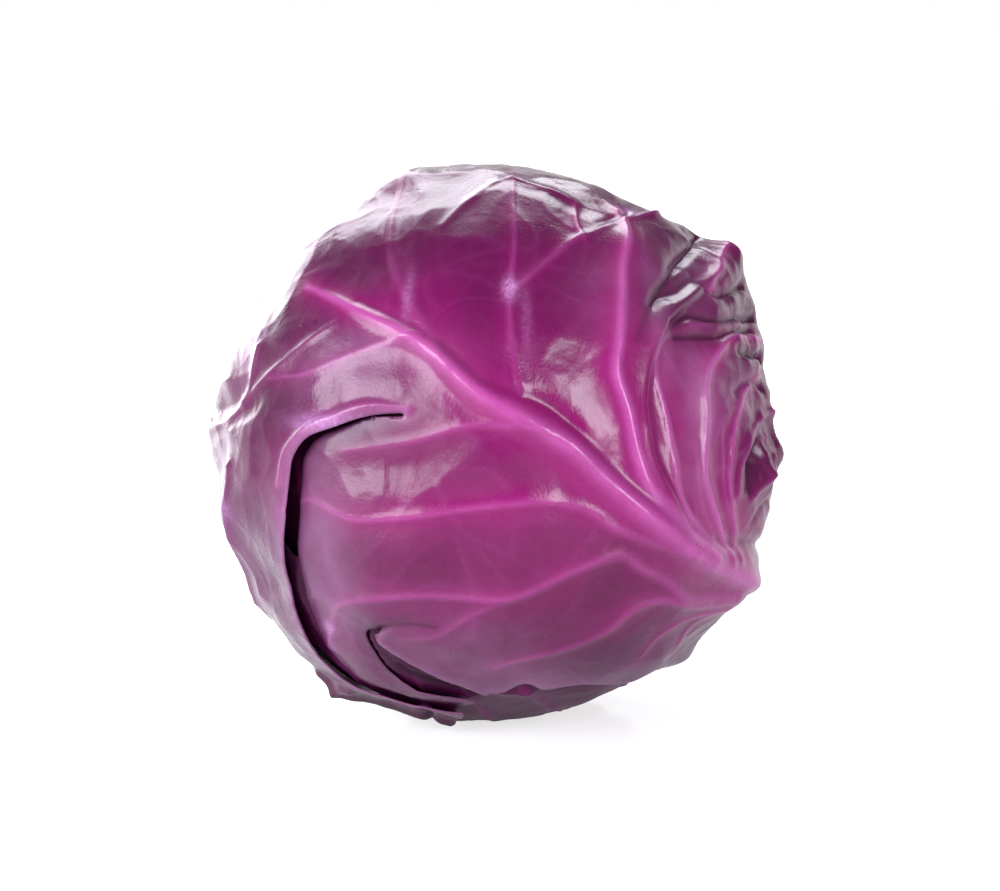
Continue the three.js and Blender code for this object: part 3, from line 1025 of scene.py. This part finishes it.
def under_leaf_rim() -> WrapperLeaf:
    """The under leaf's torn rim, dark with painted shade, which stands out along the bottom."""
    return WrapperLeaf(
        name="under_leaf_rim",
        slot="dark_leaf",
        facing=(0.2, -0.5, -0.84),
        level=1.6 * MM,
        swells=patches((0, -3, 26, 7, 2.0), (8, -1, 4, 3, 1.6), (-6, -4, 2.5, 6, 1.6), unit=MM),
        outline=((-172, 25), (-158, 19), (-140, 13), (-120, 11), (-100, 10), (-75, 9), (-50, 11),
                 (-28, 17), (-10, 26), (6, 27), (20, 20), (34, 15), (46, 13), (60, 9), (75, 12),
                 (90, 10), (105, 12), (120, 10), (135, 14), (150, 13), (164, 20)),
        strokes=(
            groove(((-13, 4), (-11, -4), (-9, -14)), (2.0, 2.0), (-3.0, -3.0), 1.0),
            fold(((-6, 3), (-5, -3), (-4, -12)), (1.6, 1.6), (2.6, 2.0), 0.3),
            groove(((-3, 3), (-2, -2), (0, -8)), (1.6, 1.6), (-2.4, -2.4), 1.0),
            fold(((-14, 0), (-8, -2), (-2, 1), (4, 2)), (1.2, 1.2), (1.4, 1.4), 0.3),
            groove(((1, 4), (6, 3), (12, 4), (17, 6)), (1.6, 1.6), (-2.6, -2.4), 1.0),
            fold(((4, -3), (9, -1), (14, 0), (20, 2)), (1.4, 1.4), (1.8, 1.4), 0.2, Shape.ROUND),
        ),
        crumples=patches((0, 0, 30, 16, 0.6), unit=MM),
        shades=patches((-2, -4, 4, 3, 0.6), (9, 4, 7, 1.6, 0.7)),
        seed=53,
        fine=30.0,
        fine_step=0.55,
        wide_step=0.6,
        extent=31.0,
        thickness=1.0 * MM,
        rooted=False,
    )


def back_leaf() -> WrapperLeaf:
    """The leaf that wraps the back."""
    facing = (-0.25, 0.95, 0.2)
    return WrapperLeaf(
        name="back_leaf_skin",
        slot="wrapper_leaf",
        facing=facing,
        level=2.6 * MM,
        outline=((-150, 94), (-90, 90), (-30, 96), (30, 100), (90, 98), (150, 96)),
        strokes=pinnate_veins(facing, 85, 5),
        seed=37,
        fine=70.0,
        fine_step=0.8,
        extent=108.0,
    )


def inner_leaf() -> WrapperLeaf:
    """The leaf that shows through the tears, dark with painted shade."""
    facing = (-0.45, -0.7, -0.55)
    return WrapperLeaf(
        name="inner_leaf_skin",
        slot="dark_leaf",
        facing=facing,
        level=4.6 * MM,
        outline=((-150, 92), (-90, 86), (-30, 92), (30, 98), (90, 96), (150, 94)),
        strokes=pinnate_veins(facing, 80, 7),
        shades=patches((0, 0, 60, 60, 0.5)),
        seed=41,
        fine=60.0,
        fine_step=1.3,
        wide_step=2.2,
        extent=106.0,
    )


def wrapper_leaves() -> tuple[WrapperLeaf, ...]:
    """Sheets of the four wrapper leaves, from the outside in. The under leaf's rim has its own sheet."""
    return front_leaf(), under_leaf(), under_leaf_rim(), back_leaf(), inner_leaf()


# ---- Heart and stem ----


@dataclass(frozen=True)
class Heart:
    """The tight ball of leaves inside the wrapper leaves, its surface stepped by leaf margins."""

    name: str = "heart_leaves"
    slot: str = "inner_leaves"
    radius: float = 70.5 * MM
    step: float = 0.8 * MM
    margins: int = 5
    edge: float = 0.008
    ripple: float = 0.4 * MM

    def build(self, form: HeadForm) -> bpy.types.Object:
        """Makes the heart.

        Args:
            form: the head that it fills.

        Returns:
            The heart's object.
        """
        ball = bmesh.new()
        bmesh.ops.create_icosphere(ball, subdivisions=6, radius=1.0)
        directions = np.array([vert.co.normalized() for vert in ball.verts])
        height = np.zeros(len(directions))
        random = np.random.default_rng(5)
        for _ in range(self.margins):
            axis = random.normal(size=3)
            axis /= np.linalg.norm(axis)
            past = directions @ axis - 0.15 * Waves(0.9, int(random.integers(1, 999))).at(directions)
            height += self.step / (1 + np.exp(-past / self.edge)) - self.step / 2
        height += self.ripple * Waves(0.35, 77).at(directions)
        points = form.place(directions, self.radius + form.rise(directions) + height)
        for vert, point in zip(ball.verts, points):
            vert.co = point
        return finished_piece(self.name, ball)


@dataclass(frozen=True)
class StemStump:
    """The short cut stem: a ridged side, a rounded rim and a slightly dished cut face."""

    name: str = "stem_cut"
    slot: str = "stem"
    radius: float = 13.6 * MM
    reach: float = 78.5 * MM
    root: float = 66.0 * MM
    rim: float = 1.2 * MM
    dish: float = 1.0 * MM
    sides: int = 96
    ridge: float = 0.5 * MM

    def profile(self) -> list[tuple[float, float]]:
        """Radius and height of the stump's outline, from the root's middle to the cut face's middle."""
        flare = self.radius * 1.12
        side = self.reach - self.root - self.rim
        line = [(0.0, self.root), (flare, self.root)]
        line += [(flare - (flare - self.radius) * share, self.root + side * share)
                 for share in np.linspace(0.15, 1, 8)]
        line += [(self.radius - self.rim * (1 - math.cos(turn)),
                  self.reach - self.rim * (1 - math.sin(turn)))
                 for turn in np.linspace(0.3, math.pi / 2, 5)]
        face = self.radius - self.rim
        line += [(face * share, self.reach - self.dish * (1 - share**2))
                 for share in np.linspace(0.92, 0, 12)]
        return line

    def build(self, form: HeadForm) -> bpy.types.Object:
        """Makes the stump.

        Args:
            form: the head that it grows into.

        Returns:
            The stump's object.
        """
        body = bmesh.new()
        verts = [body.verts.new((x, 0.0, z)) for x, z in self.profile()]
        edges = [body.edges.new(pair) for pair in zip(verts, verts[1:])]
        bmesh.ops.spin(body, geom=verts + edges, cent=(0, 0, 0), axis=(0, 0, 1), angle=2 * math.pi,
                       steps=self.sides, use_merge=True)
        bmesh.ops.remove_doubles(body, verts=body.verts, dist=1e-6)
        bmesh.ops.recalc_face_normals(body, faces=body.faces)
        for vert in body.verts:
            around = math.atan2(vert.co.y, vert.co.x)
            out = math.hypot(vert.co.x, vert.co.y) / self.radius
            ridges = math.sin(7 * around) + 0.5 * math.sin(11 * around + 1)
            swell = 1 + (self.ridge / self.radius) * out * ridges
            vert.co.x *= swell
            vert.co.y *= swell
        turn = Vector((0, 0, 1)).rotation_difference(Vector(STEM_DIRECTION)).to_matrix()
        bmesh.ops.rotate(body, verts=body.verts, cent=(0, 0, 0), matrix=turn)
        bmesh.ops.translate(body, verts=body.verts, vec=form.centre)
        return finished_piece(self.name, body)


def finished_piece(name: str, body: bmesh.types.BMesh) -> bpy.types.Object:
    """A smooth-shaded object made from a bmesh, which is freed."""
    mesh = bpy.data.meshes.new(name)
    body.to_mesh(mesh)
    body.free()
    mesh.shade_smooth()
    piece = bpy.data.objects.new(name, mesh)
    bpy.context.scene.collection.objects.link(piece)
    return piece


# ---- Finishes ----

Socket = bpy.types.NodeSocket
Value = Socket | float
Colour = tuple[float, float, float, float]
WHITE: Colour = (1, 1, 1, 1)
GLINT: Colour = (0.74, 0.38, 0.80, 1)
BLOOM_AND_SHEEN_AMOUNT = 0.6
GLOSS_RANGE = 0.1
COAT_ROUGHNESS = 0.18

# Noise scales, in cells a metre.
PIMPLES = 1300.0
PIMPLE_PATCHES = 34.0
RIPPLES = 260.0
MOTTLE = 42.0
STREAKS = 130.0
WAX_AND_SHEEN_PATCHES = 60.0
SPECKLES = 900.0
GLOSS_PATCHES = 90.0
RING_WOBBLE = 120.0
DRY_SPOTS = 300.0
PORES = 1400.0
FIBRES = 400.0


class Wiring:
    """Adds nodes to one node tree and links them."""

    def __init__(self, tree: bpy.types.NodeTree) -> None:
        """Starts on an empty tree."""
        self.tree = tree
        tree.nodes.clear()

    def add(self, kind: str, inputs: dict | None = None, **settings) -> bpy.types.Node:
        """Adds a node.

        Args:
            kind: the node's type.
            inputs: a value, or a socket to link, for each named or numbered input.
            **settings: properties of the node.

        Returns:
            The new node.
        """
        node = self.tree.nodes.new(kind)
        for name, value in settings.items():
            setattr(node, name, value)
        for key, value in (inputs or {}).items():
            if isinstance(value, bpy.types.NodeSocket):
                self.tree.links.new(value, node.inputs[key])
            else:
                node.inputs[key].default_value = value
        return node

    def math(self, operation: str, first: Value, second: Value, clamp: bool = False) -> Socket:
        """A math node's result."""
        inputs = {0: first, 1: second}
        return self.add("ShaderNodeMath", inputs, operation=operation, use_clamp=clamp).outputs[0]

    def plus(self, first: Value, second: Value, clamp: bool = False) -> Socket:
        """Sum of two values."""
        return self.math("ADD", first, second, clamp)

    def minus(self, first: Value, second: Value, clamp: bool = False) -> Socket:
        """Difference of two values."""
        return self.math("SUBTRACT", first, second, clamp)

    def times(self, first: Value, second: Value, clamp: bool = False) -> Socket:
        """Product of two values."""
        return self.math("MULTIPLY", first, second, clamp)

    def mix(self, factor: Value, first: Socket | Colour, second: Socket | Colour) -> Socket:
        """A colour mix's result."""
        return self.add("ShaderNodeMix", {0: factor, 6: first, 7: second}, data_type="RGBA").outputs[2]

    def spread(self, value: Value, low: float, high: float, new_low: float = 0.0,
               new_high: float = 1.0) -> Socket:
        """A value moved smoothly from one range to another, clamped."""
        inputs = {0: value, 1: low, 2: high, 3: new_low, 4: new_high}
        return self.add("ShaderNodeMapRange", inputs, interpolation_type="SMOOTHSTEP").outputs[0]

    def attribute(self, name: str) -> Socket:
        """A mark stored on the mesh."""
        return self.add("ShaderNodeAttribute", attribute_name=name).outputs["Fac"]

    def noise(self, place: Socket, scale: float, detail: float = 3.0, roughness: float = 0.5) -> Socket:
        """A noise texture's value."""
        inputs = {"Vector": place, "Scale": scale, "Detail": detail, "Roughness": roughness}
        return self.add("ShaderNodeTexNoise", inputs).outputs[0]


def new_group(name: str, inputs: dict[str, str],
              outputs: dict[str, str]) -> tuple[bpy.types.NodeTree, Wiring]:
    """An empty shader node group with its sockets.

    Args:
        name: the group's name.
        inputs: each input's name and socket type.
        outputs: each output's name and socket type.

    Returns:
        The group and its wiring.
    """
    group = bpy.data.node_groups.new(name, "ShaderNodeTree")
    for socket, kind in inputs.items():
        group.interface.new_socket(socket, in_out="INPUT", socket_type=kind)
    for socket, kind in outputs.items():
        group.interface.new_socket(socket, in_out="OUTPUT", socket_type=kind)
    return group, Wiring(group)


def skin_grain_group() -> bpy.types.NodeTree:
    """Height of a leaf's fine skin: soft ripples, with waxy pimples in patches."""
    group, wiring = new_group("SkinGrain", {"Place": "NodeSocketVector"}, {"Height": "NodeSocketFloat"})
    place = wiring.add("NodeGroupInput").outputs["Place"]
    pimples = wiring.minus(wiring.noise(place, PIMPLES, 2.0), 0.5)
    patch = wiring.spread(wiring.noise(place, PIMPLE_PATCHES), 0.0, 1.0)
    ripples = wiring.noise(place, RIPPLES, 4.0, 0.55)
    height = wiring.plus(wiring.times(pimples, patch), wiring.times(ripples, 0.35))
    wiring.add("NodeGroupOutput", {"Height": height})
    return group


def leaf_tint_group() -> bpy.types.NodeTree:
    """Colour of a leaf from its marks: deep panels, a flush by the veins, pale ribs, a wax bloom with
    painted sheen, painted highlights on the margins, painted glints and painted shade.
    """
    colours = ("Deep", "Flush", "Rib", "Bloom", "Shadow")
    inputs = {name: "NodeSocketColor" for name in colours}
    inputs |= {"Bloom and sheen amount": "NodeSocketFloat", "Place": "NodeSocketVector"}
    outputs = {"Colour": "NodeSocketColor", "Dullness": "NodeSocketFloat"}
    group, wiring = new_group("LeafTint", inputs, outputs)
    source = wiring.add("NodeGroupInput").outputs
    place = source["Place"]
    blotch = wiring.spread(wiring.noise(place, MOTTLE, 4.0), 0.0, 1.0, -0.05, 0.25)
    flush = wiring.plus(wiring.times(wiring.attribute("flush"), 0.9), blotch, clamp=True)
    colour = wiring.mix(flush, source["Deep"], source["Flush"])
    streaks = wiring.spread(wiring.noise(place, STREAKS, 4.0, 0.6), 0.0, 1.0, 0.45, 1.0)
    veins = wiring.times(wiring.attribute("vein"), streaks, clamp=True)
    colour = wiring.mix(veins, colour, source["Rib"])
    # Wax bloom and painted sheen share one lavender colour: these patches paint highlights and reflections
    # as well as wax.
    patch = wiring.spread(wiring.noise(place, WAX_AND_SHEEN_PATCHES, 4.0, 0.55), 0.0, 1.0, 0.1, 1.1)
    wax_and_sheen = wiring.times(wiring.attribute("bloom"), source["Bloom and sheen amount"])
    bloom = wiring.times(wax_and_sheen, patch, clamp=True)
    colour = wiring.mix(bloom, colour, source["Bloom"])
    # Painted highlight: margins and torn edges are painted paler, where thin edges catch the light, except
    # where shade is painted.
    lit = wiring.minus(1.0, wiring.attribute("shade"), clamp=True)
    pale = wiring.times(wiring.times(wiring.attribute("margin"), lit), 0.4)
    colour = wiring.mix(pale, colour, source["Bloom"])
    # Painted glints: small violet-white highlights on nodes, lips and streaks, broken up by speckle.
    speckle = wiring.spread(wiring.noise(place, SPECKLES, 3.0, 0.6), 0.3, 0.7, 0.35, 1.0)
    glint = wiring.times(wiring.attribute("glint"), speckle, clamp=True)
    colour = wiring.mix(glint, colour, GLINT)
    colour = wiring.mix(wiring.times(wiring.attribute("shade"), 0.8), colour, source["Shadow"])
    dull = wiring.plus(bloom, wiring.times(wiring.attribute("shade"), 1.2))
    wiring.add("NodeGroupOutput", {"Colour": colour, "Dullness": dull})
    return group


@dataclass(frozen=True)
class LeafFinish:
    """Waxy skin of a red cabbage leaf."""

    name: str
    deep: Colour
    flush: Colour
    rib: Colour
    bloom: Colour
    shadow: Colour
    gloss: float = 0.28
    coat: float = 0.38
    shine: float = 0.3

    def make(self, groups: dict[str, bpy.types.NodeTree]) -> bpy.types.Material:
        """Makes the material.

        Args:
            groups: the shared node groups by name.

        Returns:
            The material.
        """
        material = bpy.data.materials.new(self.name)
        material.use_nodes = True
        wiring = Wiring(material.node_tree)
        place = wiring.add("ShaderNodeTexCoord").outputs["Object"]
        grain = wiring.add("ShaderNodeGroup", node_tree=groups["SkinGrain"])
        wiring.tree.links.new(place, grain.inputs["Place"])
        tint = wiring.add("ShaderNodeGroup", node_tree=groups["LeafTint"])
        values = {"Deep": self.deep, "Flush": self.flush, "Rib": self.rib, "Bloom": self.bloom,
                  "Shadow": self.shadow, "Bloom and sheen amount": BLOOM_AND_SHEEN_AMOUNT}
        for socket, value in values.items():
            tint.inputs[socket].default_value = value
        wiring.tree.links.new(place, tint.inputs["Place"])
        inputs = {"Height": grain.outputs["Height"], "Strength": 0.35, "Distance": 0.5 * MM}
        bump = wiring.add("ShaderNodeBump", inputs)
        patchy = wiring.spread(wiring.noise(place, GLOSS_PATCHES, 4.0), 0.0, 1.0, self.gloss - GLOSS_RANGE,
                               self.gloss + GLOSS_RANGE)
        rough = wiring.plus(patchy, wiring.times(tint.outputs["Dullness"], 0.2))
        skin = wiring.add("ShaderNodeBsdfPrincipled", {
            "Base Color": tint.outputs["Colour"], "Roughness": rough, "Normal": bump.outputs[0],
            "Coat Weight": self.coat, "Coat Roughness": COAT_ROUGHNESS, "Coat IOR": 1.45,
            "Subsurface Weight": 0.06, "Subsurface Radius": (0.004, 0.001, 0.003), "Subsurface Scale": 1.0,
            "Specular IOR Level": self.shine,
        })
        wiring.add("ShaderNodeOutputMaterial", {"Surface": skin.outputs[0]})
        return material


@dataclass(frozen=True)
class StemFinish:
    """Cut stem: pale pith with fine pores, pinker towards the rim and dry on the cut face."""

    name: str = "Cut stem"
    pith: Colour = (0.72, 0.60, 0.58, 1)
    rim: Colour = (0.42, 0.12, 0.30, 1)
    dry: Colour = (0.45, 0.33, 0.24, 1)

    def make(self, form: HeadForm) -> bpy.types.Material:
        """Makes the material.

        Args:
            form: the head, whose middle the rings are counted from.

        Returns:
            The material.
        """
        material = bpy.data.materials.new(self.name)
        material.use_nodes = True
        wiring = Wiring(material.node_tree)
        place = wiring.add("ShaderNodeTexCoord").outputs["Object"]
        middle = Vector(form.centre)
        vector = "ShaderNodeVectorMath"
        offset = wiring.add(vector, {0: place, 1: middle}, operation="SUBTRACT").outputs[0]
        axis = Vector(STEM_DIRECTION)
        lift = wiring.add(vector, {0: offset, 1: axis}, operation="CROSS_PRODUCT").outputs[0]
        ring = wiring.add(vector, {0: lift}, operation="LENGTH").outputs["Value"]
        wobble = wiring.times(wiring.noise(place, RING_WOBBLE, 4.0), 4.0 * MM)
        out = wiring.spread(wiring.plus(ring, wobble), 9.0 * MM, 15.5 * MM)
        pores = wiring.noise(place, PORES, 3.0)
        dried = wiring.spread(wiring.noise(place, DRY_SPOTS, 5.0, 0.7), 0.45, 0.75, 0.0, 0.7)
        colour = wiring.mix(dried, self.pith, self.dry)
        colour = wiring.mix(out, colour, self.rim)
        height = wiring.plus(pores, wiring.times(wiring.noise(place, FIBRES, 4.0), 1.5))
        bump = wiring.add("ShaderNodeBump", {"Height": height, "Strength": 0.5, "Distance": 0.8 * MM})
        pulp = wiring.add("ShaderNodeBsdfPrincipled", {
            "Base Color": colour, "Roughness": wiring.spread(pores, 0.3, 0.7, 0.5, 0.75),
            "Normal": bump.outputs[0],
            "Subsurface Weight": 0.15, "Subsurface Radius": (0.004, 0.002, 0.002), "Subsurface Scale": 1.0,
        })
        wiring.add("ShaderNodeOutputMaterial", {"Surface": pulp.outputs[0]})
        return material


# ---- Studio ----


COOL_WHITE = (0.93, 0.94, 1.0)


@dataclass(frozen=True)
class SoftBox:
    """A soft area light aimed at the head."""

    name: str
    place: tuple[float, float, float]
    size: tuple[float, float]
    power: float

    def build(self, aim: Vector) -> None:
        """Sets up the light.

        Args:
            aim: the point that it faces.
        """
        light = bpy.data.lights.new(self.name, "AREA")
        light.shape = "RECTANGLE"
        light.size, light.size_y = self.size
        light.energy = self.power
        light.color = COOL_WHITE
        lamp = bpy.data.objects.new(self.name, light)
        lamp.location = self.place
        lamp.rotation_euler = (aim - lamp.location).to_track_quat("-Z", "Y").to_euler()
        bpy.context.scene.collection.objects.link(lamp)


@dataclass(frozen=True)
class Studio:
    """White floor, soft lights and the camera."""

    lens: float = 85.0
    distance: float = 672.0 * MM
    elevation: float = 8.0
    aim_shift: tuple[float, float] = (0.6 * MM, -0.7 * MM)
    floor_size: float = 60.0
    floor_glow: float = 0.14
    seen_glow: tuple[float, float] = (0.68, 1.0)
    glow_reach: tuple[float, float] = (0.14, 0.50)
    diffuse_light: float = 0.22
    gloss_light: float = 0.06
    boxes: tuple[SoftBox, ...] = (
        SoftBox("key", (-0.98, -0.66, 0.46), (1.1, 0.6), 20.5),
        SoftBox("left_back", (-0.52, 1.05, 0.42), (0.9, 0.8), 11.0),
        SoftBox("top", (-0.05, 0.80, 1.0), (1.0, 0.5), 10.0),
        SoftBox("right_fill", (0.85, -0.98, 0.50), (0.36, 0.8), 12.0),
    )

    def build(self, form: HeadForm) -> None:
        """Sets up the floor, the lights, the world and the camera.

        Args:
            form: the head, which the lights and the camera face.
        """
        middle = Vector(form.centre)
        for box in self.boxes:
            box.build(middle)
        self.floor()
        self.world()
        self.camera(middle)
        bpy.context.scene.view_settings.view_transform = "Standard"

    def floor(self) -> None:
        """A wide white floor with a faint gloss. Its glow is painted light: the camera sees it glow less
        near the head than further out, and other rays see a dim glow that lights the head.
        """
        body = bmesh.new()
        bmesh.ops.create_grid(body, x_segments=1, y_segments=1, size=self.floor_size / 2)
        floor = finished_piece("floor", body)
        material = bpy.data.materials.new("White table")
        material.use_nodes = True
        wiring = Wiring(material.node_tree)
        path = wiring.add("ShaderNodeLightPath").outputs
        place = wiring.add("ShaderNodeTexCoord").outputs["Object"]
        away = wiring.add("ShaderNodeVectorMath", {0: place}, operation="LENGTH").outputs["Value"]
        seen = wiring.spread(away, *self.glow_reach, *self.seen_glow)
        extra = wiring.times(path["Is Camera Ray"], wiring.minus(seen, self.floor_glow))
        glow = wiring.plus(self.floor_glow, extra)
        table = wiring.add("ShaderNodeBsdfPrincipled", {
            "Base Color": (0.58, 0.58, 0.59, 1), "Roughness": 0.16, "Specular IOR Level": 0.16,
            "Emission Color": WHITE, "Emission Strength": glow,
        })
        wiring.add("ShaderNodeOutputMaterial", {"Surface": table.outputs[0]})
        floor.data.materials.append(material)

    def world(self) -> None:
        """A dim room with a white backdrop, which the camera sees as plain white."""
        world = bpy.data.worlds.new("Studio")
        bpy.context.scene.world = world
        world.use_nodes = True
        wiring = Wiring(world.node_tree)
        path = wiring.add("ShaderNodeLightPath").outputs
        toward = wiring.add("ShaderNodeTexCoord").outputs["Generated"]
        axes = wiring.add("ShaderNodeSeparateXYZ", {0: toward}).outputs
        behind = wiring.spread(axes[1], 0.1, 0.6)
        low = wiring.spread(axes[2], 0.1, 0.45, 1.0, 0.0)
        gloss = wiring.spread(wiring.times(behind, low), 0.0, 1.0, self.gloss_light, 1.0)
        lit = wiring.math("MAXIMUM", gloss, wiring.times(path["Is Diffuse Ray"], self.diffuse_light))
        strength = wiring.math("MAXIMUM", lit, path["Is Camera Ray"])
        sky = wiring.add("ShaderNodeBackground", {"Color": WHITE, "Strength": strength})
        wiring.add("ShaderNodeOutputWorld", {"Surface": sky.outputs[0]})

    def camera(self, middle: Vector) -> None:
        """A long lens a little above the head's middle.

        Args:
            middle: the head's centre.
        """
        tilt = math.radians(self.elevation)
        back = Vector((0, -math.cos(tilt), math.sin(tilt)))
        up = Vector((0, math.sin(tilt), math.cos(tilt)))
        aim = middle + Vector((self.aim_shift[0], 0, 0)) + up * self.aim_shift[1]
        data = bpy.data.cameras.new("camera")
        data.lens = self.lens
        camera = bpy.data.objects.new("camera", data)
        camera.location = aim + back * self.distance
        camera.rotation_euler = (-back).to_track_quat("-Z", "Y").to_euler()
        bpy.context.scene.collection.objects.link(camera)
        bpy.context.scene.camera = camera


# ---- The head ----


def head_form() -> HeadForm:
    """The head's round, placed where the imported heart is."""
    low, high = (np.array(corner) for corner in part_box("heart"))
    centre = (low + high) / 2
    lumps = (
        Lump((0.77, 0.09, 0.64), 3.5 * MM, 14),
        Lump((0.96, 0.0, 0.15), -2.0 * MM, 12),
        Lump((0.3, 0.1, 0.95), -1.5 * MM, 24),
        Lump((-0.95, -0.1, -0.2), 1.5 * MM, 22),
        Lump((0.25, -0.15, -0.95), -2.8 * MM, 9),
    )
    return HeadForm(tuple(centre), lumps)


def finishes(form: HeadForm) -> dict[str, bpy.types.Material]:
    """One material for each of the record's slots."""
    groups = {"SkinGrain": skin_grain_group(), "LeafTint": leaf_tint_group()}
    wrapper = LeafFinish(
        name="Wrapper leaf",
        deep=(0.072, 0.002, 0.040, 1),
        flush=(0.275, 0.003, 0.130, 1),
        rib=(0.59, 0.11, 0.43, 1),
        bloom=(0.45, 0.21, 0.41, 1),
        shadow=(0.03, 0.002, 0.02, 1),
    )
    # A darker copy of the leaf finish: painted shade for the under leaf, its rim and the inner leaf.
    dark = LeafFinish(
        name="Dark shaded leaf",
        deep=(0.065, 0.004, 0.042, 1),
        flush=(0.13, 0.006, 0.07, 1),
        rib=(0.28, 0.03, 0.2, 1),
        bloom=(0.20, 0.09, 0.19, 1),
        shadow=(0.02, 0.002, 0.015, 1),
        gloss=0.36,
        coat=0.15,
        shine=0.2,
    )
    heart = LeafFinish(
        name="Heart leaf",
        deep=(0.16, 0.012, 0.11, 1),
        flush=(0.32, 0.03, 0.22, 1),
        rib=(0.55, 0.15, 0.45, 1),
        bloom=(0.4, 0.2, 0.4, 1),
        shadow=(0.04, 0.004, 0.03, 1),
    )
    return {"wrapper_leaf": wrapper.make(groups), "dark_leaf": dark.make(groups),
            "inner_leaves": heart.make(groups), "stem": StemFinish().make(form)}


def dress(piece: bpy.types.Object, slot: str, node: str, materials: dict[str, bpy.types.Material]) -> None:
    """Gives a piece its slot's material and its body, and hides the imported part that it stands for."""
    piece.data.materials.clear()
    piece.data.materials.append(materials[slot])
    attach(piece, "root")
    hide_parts(node)
    LOG.info("%s: %d faces", piece.name, len(piece.data.polygons))


def main() -> None:
    """Builds the head and its studio."""
    logging.basicConfig(level=logging.INFO, format="%(name)s: %(message)s")
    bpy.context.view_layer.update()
    form = head_form()
    Studio().build(form)
    materials = finishes(form)
    leaves = wrapper_leaves()
    for index, leaf in enumerate(leaves):
        dress(leaf.build(form, leaves[:index]), leaf.slot, leaf.name.rsplit("_", 1)[0], materials)
    heart = Heart()
    dress(heart.build(form), heart.slot, "heart", materials)
    stem = StemStump()
    dress(stem.build(form), stem.slot, "stem_stump", materials)


if __name__ == "__main__":
    main()
